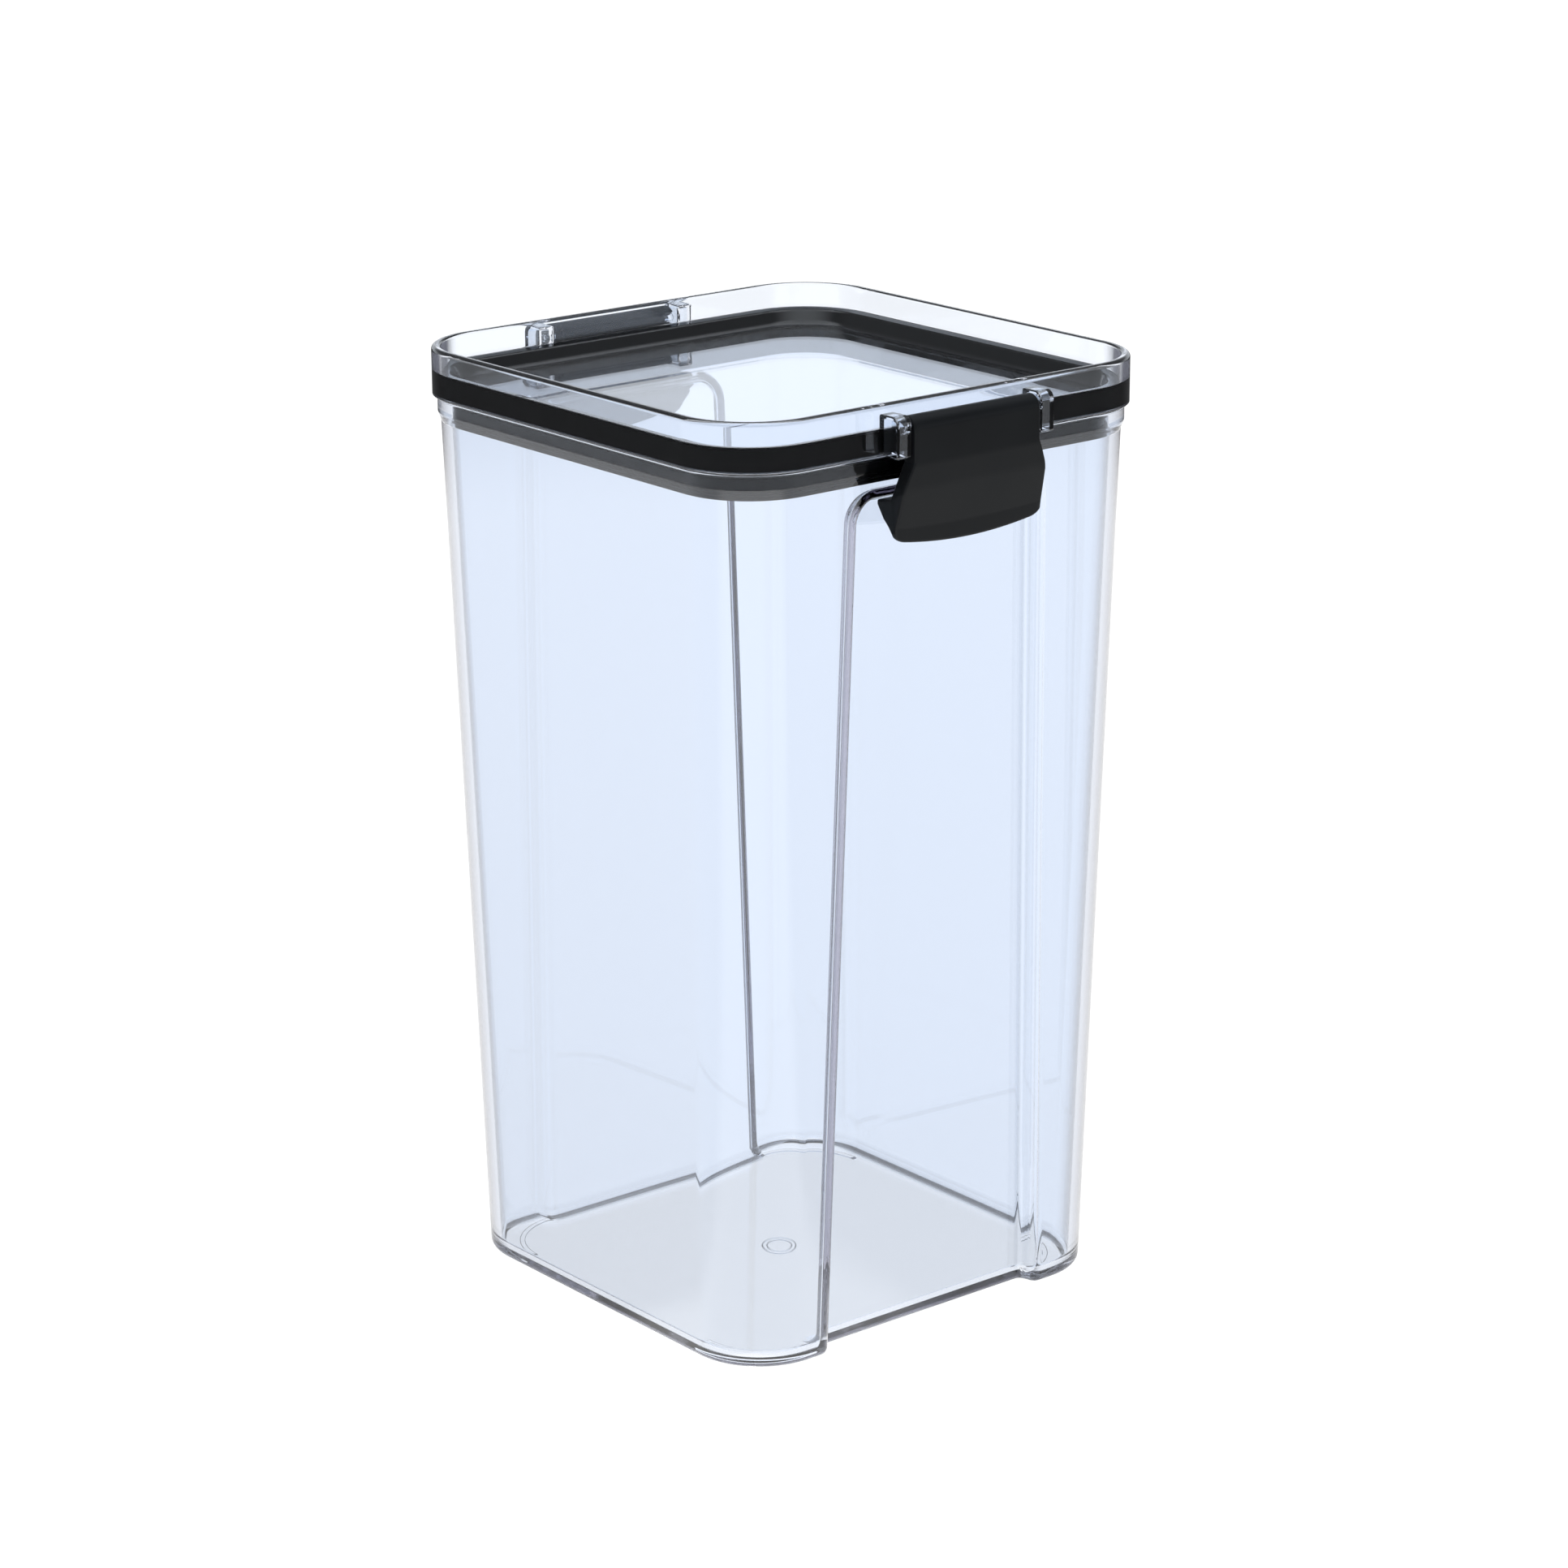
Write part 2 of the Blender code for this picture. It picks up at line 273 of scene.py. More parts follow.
def rounded(outline, steps=6):
    """Round the corners of a closed outline whose points are (a, b, radius)."""
    points = []
    count = len(outline)
    for i, (a, b, radius) in enumerate(outline):
        here = np.array((a, b))
        before = np.array(outline[i - 1][:2]) - here
        after = np.array(outline[(i + 1) % count][:2]) - here
        if radius <= 0:
            points.append((a, b))
            continue
        before /= np.linalg.norm(before)
        after /= np.linalg.norm(after)
        half = np.arccos(np.clip(np.dot(before, after), -1, 1)) / 2
        reach = radius / tan(half)
        middle = (before + after) / np.linalg.norm(before + after)
        centre = here + middle * radius / sin(half)
        first = here + before * reach - centre
        last = here + after * reach - centre
        angle = pi - 2 * half
        for k in range(steps + 1):
            t = k / steps
            spot = (sin((1 - t) * angle) * first + sin(t * angle) * last) / sin(angle)
            points.append(tuple(centre + spot))
    return points


def signs(quadrant):
    """Signs of X and Y in a quadrant; quadrant 0 is at +X +Y, and 1 at -X +Y."""
    return (1 if quadrant in (0, 3) else -1), (1 if quadrant in (0, 1) else -1)


def corner(half, radius, quadrant, steps):
    """Points of one rounded corner, counter-clockwise."""
    start = quadrant * pi / 2
    cx, cy = [sign * (half - radius) for sign in signs(quadrant)]
    turns = [start + i / steps * pi / 2 for i in range(steps + 1)]
    return [(cx + radius * cos(t), cy + radius * sin(t)) for t in turns]


def square_loop(inset, down, steps=28):
    """A rounded square parallel to the lid's outer face."""
    points = []
    for quadrant in range(4):
        points += corner(LID_HALF - inset, LID_RADIUS - inset, quadrant, steps)
    return [(x, y, height(down)) for x, y in points]


# ---------------------------------------------------------------- container

def recess_half(z):
    """Half-width of the recess, at the middle of its step."""
    full = height(RECESS_TOP_LEVEL)
    return RECESS_HALF_BASE + (RECESS_HALF_TOP - RECESS_HALF_BASE) * z / full


def recess_distance(x, z):
    """Distance outside the recess outline, negative inside it."""
    qx = np.abs(x) - (recess_half(z) - RECESS_CORNER)
    qz = z - (height(RECESS_TOP) - RECESS_CORNER)
    outside = np.hypot(np.maximum(qx, 0), np.maximum(qz, 0))
    return outside + np.minimum(np.maximum(qx, qz), 0) - RECESS_CORNER


def recess_shape(d, inset):
    """Depth of the recess wall at a distance from its outline, on a face that is inset."""
    rise = (1 - cos(STEP_ANGLE)) * (SHOULDER_RADIUS + HOLLOW_RADIUS)
    slant = (RECESS_DEPTH - rise) / sin(STEP_ANGLE)
    width = (SHOULDER_RADIUS + HOLLOW_RADIUS) * sin(STEP_ANGLE) + slant * cos(STEP_ANGLE)
    start, end = width / 2, -width / 2
    hollow = HOLLOW_RADIUS + inset
    join = end + hollow * sin(STEP_ANGLE)
    line = (RECESS_DEPTH - HOLLOW_RADIUS + hollow * cos(STEP_ANGLE)
            - tan(STEP_ANGLE) * (d - join))
    low = RECESS_DEPTH - HOLLOW_RADIUS + np.sqrt(np.maximum(
        hollow ** 2 - np.maximum(d - end, 0) ** 2, 0))
    shape = np.where(d < join, low, line)
    shoulder = max(SHOULDER_RADIUS - inset, 0.0)
    bend = SHOULDER_RADIUS - np.sqrt(np.maximum(
        shoulder ** 2 - np.clip(start - d, 0, shoulder) ** 2, 0))
    near = d > start - shoulder * sin(STEP_ANGLE)
    shape = np.where(near & (shoulder > 0), bend, np.maximum(shape, inset))
    return np.where(d >= start, 0.0, shape - inset)


def face_stations():
    """Places across a recessed face, from the recess's middle to the corner's start."""
    middle = np.linspace(0.0, 1.0, 5)[:-1]
    step = np.arange(*STEP_REACH, STEP_PITCH)
    rest = np.linspace(0.0, 1.0, 4)[1:]
    return middle, step, rest


def body_loop(half, radius, z, inset, recessed=True, steps=22):
    """A level of the container's shell, on a face that is inset from its outside."""
    width = recess_half(z)
    middle, step, rest = face_stations()
    flat = half - radius
    near = width + step[-1]
    xs = np.concatenate([middle * (width + step[0]), width + step,
                         near + rest * (flat - near)])[:-1]
    xs = np.concatenate([xs[::-1], -xs[1:]])
    depth = recess_shape(recess_distance(xs, z), inset) if recessed else 0 * xs
    rear = list(zip(xs, half - depth))
    front = [(-x, -y) for x, y in rear]
    ys = np.linspace(-1, 1, 7)[1:-1] * flat
    points = corner(half, radius, 0, steps) + rear + corner(half, radius, 1, steps)
    points += [(-half, -y) for y in ys]
    points += corner(half, radius, 2, steps) + front + corner(half, radius, 3, steps)
    points += [(half, y) for y in ys]
    return [(x, y, z) for x, y in points]


def wall_loop(z, inset):
    """A level of the tapered wall."""
    return body_loop(body_half(z) - inset, BODY_RADIUS - inset, z, inset)


def wall_levels(lowest):
    """Heights of the tapered wall from a lowest one up to the collar."""
    coarse = np.arange(lowest, height(FINE_FROM - 0.2), 4.0)
    fine = np.arange(height(FINE_FROM), height(COLLAR_END - 0.2), 0.2)
    return list(coarse) + list(fine)


def container_outside():
    """Loops from the underside's middle round the base edge and up to the rim."""
    loops = [wall_loop(FOOT_LIFT, inset) for inset in (6.0, 4.0, 2.5)]
    for i in range(13):
        turn = i / 12 * pi / 2
        loops.append(wall_loop(FOOT_LIFT + BASE_EDGE * (1 - cos(turn)),
                               BASE_EDGE * (1 - sin(turn))))
    loops += [wall_loop(z, 0.0) for z in wall_levels(FOOT_LIFT + BASE_EDGE + 2.0)]
    collar = [(1.45, COLLAR_END, 1.5), (COLLAR_INSET, COLLAR_BOTTOM, 1.2),
              (COLLAR_INSET, COLLAR_TOP, 0.35), (NECK_INSET, COLLAR_TOP, 0.3),
              (NECK_INSET, RIM_DOWN, 0.4), (3.25, RIM_DOWN, 0.4), (3.25, -20.0, 0.0),
              (1.5, -20.0, 0.0)]
    # without the rounded start, which lies in the wall, and the end, which closes the outline
    for inset, down in rounded(collar)[7:-9]:
        loops.append(body_loop(LID_HALF - inset, LID_RADIUS - inset, height(down), 0.0, False))
    return loops


def container_inside():
    """Loops from the rim down the inner wall to the floor's middle."""
    loops = []
    for i in range(5):
        turn = i / 4 * pi / 2
        z = height(RIM_DOWN) - RIM_ROUND * (1 - cos(turn))
        inset = WALL - RIM_ROUND * (1 - sin(turn))
        loops.append(body_loop(body_half(z) - inset, BODY_RADIUS - inset, z, 0.0, False))
    loops += [wall_loop(z, WALL) for z in wall_levels(FLOOR + FLOOR_FILLET)[::-1]]
    for i in range(1, 10):
        turn = i / 9 * pi / 2
        z = FLOOR + FLOOR_FILLET * (1 - sin(turn))
        loops.append(wall_loop(z, WALL + FLOOR_FILLET * (1 - cos(turn))))
    loops.append(wall_loop(FLOOR, WALL + FLOOR_FILLET + 1.0))
    return loops


def arc_rib(centre, radius, first, last, width, low, high, steps=24):
    """A rib on the underside that follows an arc, with rounded lower edges."""
    section = rounded([(-width / 2, high, 0.0), (-width / 2, low, 0.2),
                       (width / 2, low, 0.2), (width / 2, high, 0.0)], 3)
    full = abs(last - first) >= 360
    loops = []
    for i in range(steps if full else steps + 1):
        turn = radians(first + (last - first) * i / steps)
        loops.append([(centre[0] + (radius + a) * cos(turn),
                       centre[1] + (radius + a) * sin(turn), z) for a, z in section])
    return skin(loops, capped=not full, cyclic=full)


def combine(target, parts, mat):
    """Join closed shapes to an object, or cut them from it, by exact booleans."""
    target.modifiers.clear()
    for verts, faces, operation in parts:
        tool = mesh_object("tool", verts, faces, mat, None)
        boolean = target.modifiers.new("boolean", "BOOLEAN")
        boolean.operation = operation
        boolean.solver = "EXACT"
        boolean.object = tool
        graph = bpy.context.evaluated_depsgraph_get()
        mesh = bpy.data.meshes.new_from_object(target.evaluated_get(graph))
        target.modifiers.clear()
        target.data = mesh
        bpy.data.objects.remove(tool, do_unlink=True)
    target.data.shade_smooth()
    target.data.set_sharp_from_angle(angle=SHARP)
    even_normals(target)


def make_container(mat):
    """The clear tapered container with its recesses, collar, neck, feet and gate mark."""
    verts, faces = skin(container_outside() + container_inside())
    obj = mesh_object("container_shell", verts, faces, mat, "container",
                      ["container"])
    ribs = []
    for quadrant in range(4):
        first = 90 * quadrant
        centre = [sign * FOOT_CENTRE for sign in signs(quadrant)]
        ribs.append(arc_rib(centre, FOOT_RADIUS, first, first + 90, FOOT_WIDTH, 0.0,
                            FOOT_LIFT + RIB_SINK))
    for radius in GATE_RADII:
        ribs.append(arc_rib((0, 0), radius, 0, 360, GATE_WIDTH, 0.0,
                            FOOT_LIFT + RIB_SINK, 40))
    combine(obj, [(*rib, "UNION") for rib in ribs], mat)
    return obj


# ---------------------------------------------------------------- lid

def lid_section():
    """The lid's section: window edge, cove, ridge, rim, skirt, gasket seat and plug."""
    outline = [
        (WELL_INSET + 2.0, PANEL_DOWN, 0.0), (WELL_INSET + 1.5, PANEL_DOWN, 0.0),
        (WELL_INSET - 1.2, PANEL_DOWN, 2.0), (RIDGE_INSET, RIDGE_DOWN, 0.8),
        (RIM_WALL, LEDGE_DOWN, 0.2), (RIM_WALL, 0.0, 0.55), (0.0, 0.0, 0.85),
        (0.0, SKIRT_DOWN, 0.3), (RIM_WALL, SKIRT_DOWN, 0.3), (RIM_WALL, SEAT_DOWN, 0.15),
        (SEAT_INSET, SEAT_DOWN, 0.2), (PLUG_OUT, PANEL_DOWN - 0.6, 0.6),
        (PLUG_OUT, PLUG_DOWN, 0.3),
        (WELL_INSET, PLUG_DOWN, 0.3), (WELL_INSET, PANEL_UNDER, 0.5),
        (WELL_INSET + 1.5, PANEL_UNDER, 0.0), (WELL_INSET + 2.0, PANEL_UNDER, 0.0),
    ]
    return rounded(outline)


def across(outline, side, xs):
    """Loops that carry an outline of (out, down) across the object at places in X."""
    return [[(x, side * (LID_HALF + out), height(down)) for out, down in outline]
            for x in xs]


def ear_shape(side, sign):
    """The outside of one ear: rounded at its outer top edge."""
    outline = rounded([(-0.8, EAR_TOP - 0.15, 0.0), (EAR_REACH, EAR_TOP, 1.6),
                       (EAR_REACH, EAR_BOTTOM, 0.5), (-0.8, EAR_BOTTOM + 0.45, 0.0)])
    inner = 0.35
    xs = [EAR_IN, EAR_IN + 0.1, EAR_IN + inner, EAR_OUT - inner, EAR_OUT - 0.1, EAR_OUT]
    pulls = [0.35, 0.1, 0.0, 0.0, 0.1, 0.35]
    loops = []
    for x, pull in zip(xs, pulls):
        shape = [(a - pull * (a > 0), b + pull * (1 if b < -5 else -1))
                 for a, b in outline]
        loops += across(shape, side, [sign * x])
    return skin(loops)


def ear_hollow(side, sign):
    """The hollow inside one ear, open below."""
    outline = rounded([(EAR_SHELL, EAR_TOP - EAR_SHELL, 0.3),
                       (EAR_REACH - EAR_SHELL, EAR_TOP - EAR_SHELL, 1.1),
                       (EAR_REACH - EAR_SHELL, EAR_BOTTOM - 0.6, 0.0),
                       (EAR_SHELL, EAR_BOTTOM - 0.6, 0.0)])
    xs = [EAR_IN + EAR_SHELL, EAR_OUT - EAR_SHELL]
    return skin(across(outline, side, [sign * x for x in xs]))


def pin_shape(side, sign):
    """One stub pin, round, with a domed tip, from inside its ear inwards."""
    turns = [2 * pi * i / 32 for i in range(32)]
    places = [(EAR_IN + 1.0, PIN_RADIUS), (PIN_TIP + 0.3, PIN_RADIUS),
              (PIN_TIP + 0.1, PIN_RADIUS - 0.08), (PIN_TIP, PIN_RADIUS - 0.3)]
    loops = []
    for x, radius in places:
        loops.append([(sign * x, side * (LID_HALF + PIN_OUT) + radius * cos(t),
                       height(PIN_DOWN) + radius * sin(t)) for t in turns])
    return skin(loops)


def make_lid(mat):
    """The clear lid with its window, ledge, skirt, plug, four ears and four stub pins."""
    verts, faces = skin([square_loop(i, d) for i, d in lid_section()])
    obj = mesh_object("lid_shell", verts, faces, mat, "lid", ["lid"])
    sides = [(side, sign) for side in (-1, 1) for sign in (-1, 1)]
    parts = [(*ear_shape(*place), "UNION") for place in sides]
    parts += [(*ear_hollow(*place), "DIFFERENCE") for place in sides]
    parts += [(*pin_shape(*place), "UNION") for place in sides]
    combine(obj, parts, mat)
    return obj


# ---------------------------------------------------------------- gasket

def make_gasket(mat):
    """The black gasket: a sleeve with a flange at its top and three sealing fins."""
    outline = [(PLUG_OUT + PRESSED, GASKET_BOTTOM, 0.2),
               (PLUG_OUT + PRESSED, PANEL_DOWN - 0.6, 0.6),
               (SEAT_INSET, SEAT_DOWN + PRESSED, 0.2),
               (RIM_WALL - PRESSED, SEAT_DOWN + PRESSED, 0.15),
               (RIM_WALL - PRESSED, LIP_DOWN, 0.08), (NECK_INSET - 0.06, LIP_DOWN, 0.08),
               (NECK_INSET - 0.06, FLANGE_UNDER, 0.05), (SLEEVE_OUT, FLANGE_UNDER, 0.15)]
    for down in FIN_DOWNS:
        outline += [(SLEEVE_OUT, down + 0.35, 0.1), (FIN_INSET, down + 0.14, 0.1),
                    (FIN_INSET, down - 0.2, 0.1), (SLEEVE_OUT, down - 0.35, 0.1)]
    outline.append((SLEEVE_OUT, GASKET_BOTTOM, 0.2))
    loops = [square_loop(i, d) for i, d in rounded(outline, 3)]
    verts, faces = skin(loops, capped=False, cyclic=True)
    return mesh_object("gasket_ring", verts, faces, mat, "lid",
                       ["gasket"])


# ---------------------------------------------------------------- latches

def arc(radius, first, last, steps):
    """Points of an arc about the latch's axis, with angles in degrees."""
    turns = [radians(first + (last - first) * i / steps) for i in range(steps + 1)]
    return [(PIN_OUT + radius * cos(t), PIN_DOWN + radius * sin(t)) for t in turns]


def latch_section(slotted):
    """Section of a latch: barrel, front face, lip, hook nose and back face.

    The barrel is slotted where a stub pin snaps in, and ribbed between the slots.
    """
    plate = [(PIN_OUT + BARREL_RADIUS, -10.7, 9.0), (4.9, -15.2, 16.0),
             (3.2, -22.4, 3.0), (2.95, -24.75, 0.45), (2.0, -24.75, 0.4),
             (0.9, -22.9, 3.0), (-0.6, -21.0, 3.0), (-2.3, -18.55, 0.45),
             (-2.3, -17.75, 0.3), (1.4, -17.1, 0.6), (2.35, -10.6, 2.0),
             (2.2, -8.3, 1.0)]
    lower = rounded(plate + [(1.3, -6.6, 0.0), (PIN_OUT + BARREL_RADIUS, -4.4, 0.0)], 4)[:-2]
    outer = arc(BARREL_RADIUS, 180 - MOUTH_HALF_ANGLE, 0, 18)
    jaw = arc(BARREL_RADIUS, 180 + MOUTH_HALF_ANGLE, 180 + MOUTH_HALF_ANGLE, 1)[:1]
    if slotted:
        return outer + lower + jaw + arc(BORE_RADIUS, 180 + MOUTH_HALF_ANGLE,
                                         540 - MOUTH_HALF_ANGLE, SLOT_STEPS)
    ribs = []
    for i in range(SLOT_STEPS + 1):
        part = i / SLOT_STEPS
        radius = BARREL_RADIUS - 0.05 - RIB_DEPTH * (0.5 - 0.5 * cos(2 * pi * RIB_COUNT * part))
        ribs += arc(radius, 180 + MOUTH_HALF_ANGLE * (1 - 2 * part), 0, 1)[:1]
    return outer + lower + jaw + ribs


def pulled_in(points, distance):
    """A closed outline moved inwards by a small distance."""
    spots = np.array(points)
    ahead = np.roll(spots, -1, axis=0) - spots
    area = np.sum(spots[:, 0] * np.roll(spots[:, 1], -1) - np.roll(spots[:, 0], -1) * spots[:, 1])
    ahead /= np.maximum(np.linalg.norm(ahead, axis=1), 1e-9)[:, None]
    normal = np.stack([-ahead[:, 1], ahead[:, 0]], 1) * np.sign(area)
    both = normal + np.roll(normal, 1, axis=0)
    both /= np.maximum(np.linalg.norm(both, axis=1), 0.4)[:, None]
    return spots + both * distance


def latch_half(down):
    """Half-width of a latch at a level: narrow between the ears, wider below them."""
    start, end = LATCH_WIDEN
    part = np.clip((start - down) / (start - end), 0, 1)
    return LATCH_HALF_TOP + (LATCH_HALF_LOW - LATCH_HALF_TOP) * (1 - (1 - part) ** 2)


def latch_stations():
    """Places across a latch: share of its half-width, distance back and rounding."""
    turns = [k / 6 * pi / 2 for k in range(7)]
    side = [(LATCH_ROUND * (1 - cos(t)), LATCH_ROUND * (1 - sin(t))) for t in turns]
    slot = SLOT_INNER / LATCH_HALF_TOP
    jaws = np.linspace(slot + 0.002, 0.965, 7)
    shares = [*-jaws[::-1], *np.linspace(-slot, slot, 33), *jaws]
    return ([(-1.0, back, trim) for back, trim in side] + [(s, 0.0, 0.0) for s in shares]
            + [(1.0, back, trim) for back, trim in side[::-1]])


def make_latch(name, side, mat, body, node):
    """A snap latch: slotted barrel, thumb plate with a curved lip, and hook."""
    loops = []
    slotted, ribbed = latch_section(True), latch_section(False)
    for share, back, trim in latch_stations():
        outline = slotted if abs(share) > SLOT_INNER / LATCH_HALF_TOP + 0.001 else ribbed
        shape = pulled_in(outline, trim) if trim > 0 else np.array(outline)
        half = latch_half(shape[:, 1])
        x = share * half - np.sign(share) * back
        part = np.clip(np.abs(x) / half, 0, 1)
        low = np.maximum(LIP_SAG_FROM - shape[:, 1], 0) / LIP_HEIGHT
        edge = np.clip((np.abs(x) - (half - LIP_CORNER)) / LIP_CORNER, 0, 1)
        drop = low * (LIP_SAG * (1 - part ** 2)
                      - (1 - np.sqrt(1 - 0.97 * edge ** 2)) * LIP_CORNER * 0.6)
        loops.append([(a, side * (LID_HALF + out), height(down - lower))
                      for a, (out, down), lower in zip(x, shape, drop)])
    verts, faces = skin(loops, capped=False)
    flat = [Vector((out, down, 0.0)) for out, down in pulled_in(slotted, LATCH_ROUND)]
    last = len(verts) - len(flat)
    for a, b, c in tessellate_polygon([flat]):
        faces.append((a, b, c))
        faces.append((last + c, last + b, last + a))
    return mesh_object(name, verts, faces, mat, body, [node])


# ---------------------------------------------------------------- materials

def new_material(name):
    """A material with its Principled shader and node tools."""
    mat = bpy.data.materials.new(name)
    mat.use_nodes = True
    tree = mat.node_tree
    return mat, tree, tree.nodes["Principled BSDF"]


def noise(tree, scale, detail, stretch=(1, 1, 1)):
    """A noise texture over the object's own place, stretched along its axes."""
    place = tree.nodes.new("ShaderNodeTexCoord")
    mapping = tree.nodes.new("ShaderNodeMapping")
    mapping.inputs["Scale"].default_value = stretch
    texture = tree.nodes.new("ShaderNodeTexNoise")
    texture.inputs["Scale"].default_value = scale
    texture.inputs["Detail"].default_value = detail
    texture.inputs["Roughness"].default_value = 0.5
    tree.links.new(place.outputs["Object"], mapping.inputs["Vector"])
    tree.links.new(mapping.outputs["Vector"], texture.inputs["Vector"])
    return texture.outputs["Fac"]


def axis_distance(tree, source, direction):
    """How far a place, or a normal, lies along a direction."""
    dot = tree.nodes.new("ShaderNodeVectorMath")
    dot.operation = "DOT_PRODUCT"
    dot.inputs[1].default_value = direction
    tree.links.new(source, dot.inputs[0])
    return dot.outputs["Value"]


def maths(tree, operation, first, second=0.0):
    """One arithmetic node on sockets or numbers."""
    node = tree.nodes.new("ShaderNodeMath")
    node.operation = operation
    for socket, value in zip(node.inputs, (first, second)):
        if isinstance(value, (int, float)):
            socket.default_value = value
        else:
            tree.links.new(value, socket)
    return node.outputs["Value"]


def smooth(tree, value, start, end, low, high, kind="SMOOTHSTEP"):
    """A ramp of a value between two places, smooth unless another kind is given."""
    node = tree.nodes.new("ShaderNodeMapRange")
    node.interpolation_type = kind
    for key, number in (("From Min", start), ("From Max", end), ("To Min", low),
                        ("To Max", high)):
        node.inputs[key].default_value = number
    tree.links.new(value, node.inputs["Value"])
    return node.outputs["Result"]


def spread(tree, value, low, high, start=0.35, end=0.65):
    """Map a texture's value to a range in a straight line."""
    return smooth(tree, value, start, end, low, high, "LINEAR")


def blend(tree, factor, first, second):
    """A mix of two colours, where the first may be a socket."""
    node = tree.nodes.new("ShaderNodeMix")
    node.data_type = "RGBA"
    if isinstance(first, tuple):
        node.inputs["A"].default_value = (*first, 1.0)
    else:
        tree.links.new(first, node.inputs["A"])
    node.inputs["B"].default_value = (*second, 1.0)
    tree.links.new(factor, node.inputs["Factor"])
    return node.outputs["Result"]


def bump(tree, value, distance, strength=1.0, under=None):
    """A bump from a texture's value, over an earlier bump if there is one."""
    node = tree.nodes.new("ShaderNodeBump")
    node.inputs["Distance"].default_value = distance
    node.inputs["Strength"].default_value = strength
    tree.links.new(value, node.inputs["Height"])
    if under is not None:
        tree.links.new(under, node.inputs["Normal"])
    return node.outputs["Normal"]


def base_border(tree, place):
    """One under the walls, also where they step in at a recess, and zero under the floor."""
    x, y = [maths(tree, "ABSOLUTE", axis_distance(tree, place, axis))
            for axis in ((1.0, 0.0, 0.0), (0.0, 1.0, 0.0))]
    edge = BASE_HALF - WALL - FLOOR_FILLET

    def beyond(value, place_mm, low=0.0, high=1.0):
        return smooth(tree, value, (place_mm - 0.3) * MM, (place_mm + 0.5) * MM, low, high)

    stepped = maths(tree, "MULTIPLY", beyond(y, edge - RECESS_DEPTH),
                    beyond(x, RECESS_HALF_BASE, 1.0, 0.0))
    return maths(tree, "MAXIMUM", maths(tree, "MAXIMUM", beyond(x, edge), beyond(y, edge)), stepped)


def clear_plastic(name, tint, level_colour, shade, turn, painted_base_shade=1.0, frosted=0.0, wave=LID_WAVE):
    """Clear moulded plastic: tinted, with painted shade at its outline, a colour of its own on
    level faces (lighter on the body's floor, as painted light), flow waves and marks.

    The painted base shade is what is left of the colour at the base, a painted shade that darkens
    the plastic towards the bottom, and frosted is the roughness there.
    """
    mat, tree, shader = new_material(name)
    shader.inputs["Transmission Weight"].default_value = 1.0
    shader.inputs["IOR"].default_value = CLEAR_IOR
    place = tree.nodes.new("ShaderNodeTexCoord").outputs["Object"]
    up = axis_distance(tree, place, (0.0, 0.0, 1.0))
    border = base_border(tree, place)
    normal = tree.nodes.new("ShaderNodeNewGeometry").outputs["Normal"]
    level = maths(tree, "ABSOLUTE", axis_distance(tree, normal, (0.0, 0.0, 1.0)))

    # Painted shade: upright faces take a darker colour as they turn away from the eye
    away = tree.nodes.new("ShaderNodeLayerWeight")
    away.inputs["Blend"].default_value = 0.5
    edge = maths(tree, "MULTIPLY", smooth(tree, away.outputs["Facing"], *turn, 0.0, 1.0),
                 smooth(tree, level, 0.2, 0.5, 1.0, 0.0))
    # Level faces away from the walls take their own colour; on the body's floor it is a lighter
    # one, as painted light
    flat = maths(tree, "MULTIPLY", smooth(tree, level, 0.6, 0.95, 0.0, 1.0),
                 maths(tree, "SUBTRACT", 1.0, border))
    shaded = blend(tree, edge, tint, tuple(a * b for a, b in zip(tint, shade)))
    scale = tree.nodes.new("ShaderNodeVectorMath")
    scale.operation = "SCALE"
    tree.links.new(blend(tree, flat, shaded, level_colour), scale.inputs[0])
    # painted shade: the colour darkens from the top down to the base
    tree.links.new(smooth(tree, up, 0.0, HEIGHT * MM, painted_base_shade, 1.0), scale.inputs["Scale"])
    tree.links.new(scale.outputs["Vector"], shader.inputs["Base Color"])

    inside = tree.nodes.new("ShaderNodeVolumeAbsorption")
    inside.inputs["Color"].default_value = (*DEEP, 1.0)
    inside.inputs["Density"].default_value = ABSORB
    tree.links.new(inside.outputs["Volume"], tree.nodes["Material Output"].inputs["Volume"])

    marks = noise(tree, 260.0, 3.0, (1, 1, 0.3))
    frost = maths(tree, "MULTIPLY", maths(tree, "MAXIMUM", border, MIDDLE_FROST), smooth(
        tree, up, FROST_RISE[0] * MM, FROST_RISE[1] * MM, frosted, 0.0))
    tree.links.new(maths(tree, "ADD", frost, spread(tree, marks, 0.0, 0.012, 0.5, 0.8)),
                   shader.inputs["Roughness"])
    flow = noise(tree, 14.0, 1.0, (1, 1, 0.35))
    tree.links.new(bump(tree, flow, wave), shader.inputs["Normal"])
    return mat


def cloudy_black(name, scale, detail, colours, rough, specular):
    """A black material whose colour and roughness follow one cloudy noise."""
    mat, tree, shader = new_material(name)
    cloud = noise(tree, scale, detail)
    ramp = tree.nodes.new("ShaderNodeValToRGB")
    for element, colour in zip(ramp.color_ramp.elements, colours):
        element.color = (*colour, 1.0)
    tree.links.new(cloud, ramp.inputs["Fac"])
    tree.links.new(ramp.outputs["Color"], shader.inputs["Base Color"])
    tree.links.new(spread(tree, cloud, *rough), shader.inputs["Roughness"])
    shader.inputs["Specular IOR Level"].default_value = specular
    return mat, tree, shader


def silicone(name):
    """Black silicone: matte, faintly mottled, with a fine grain."""
    mat, tree, shader = cloudy_black(name, 160.0, 4.0, SILICONE, (0.38, 0.52), 0.12)
    grain = noise(tree, 4000.0, 2.0)
    tree.links.new(bump(tree, grain, GRAIN, 0.15), shader.inputs["Normal"])
    return mat


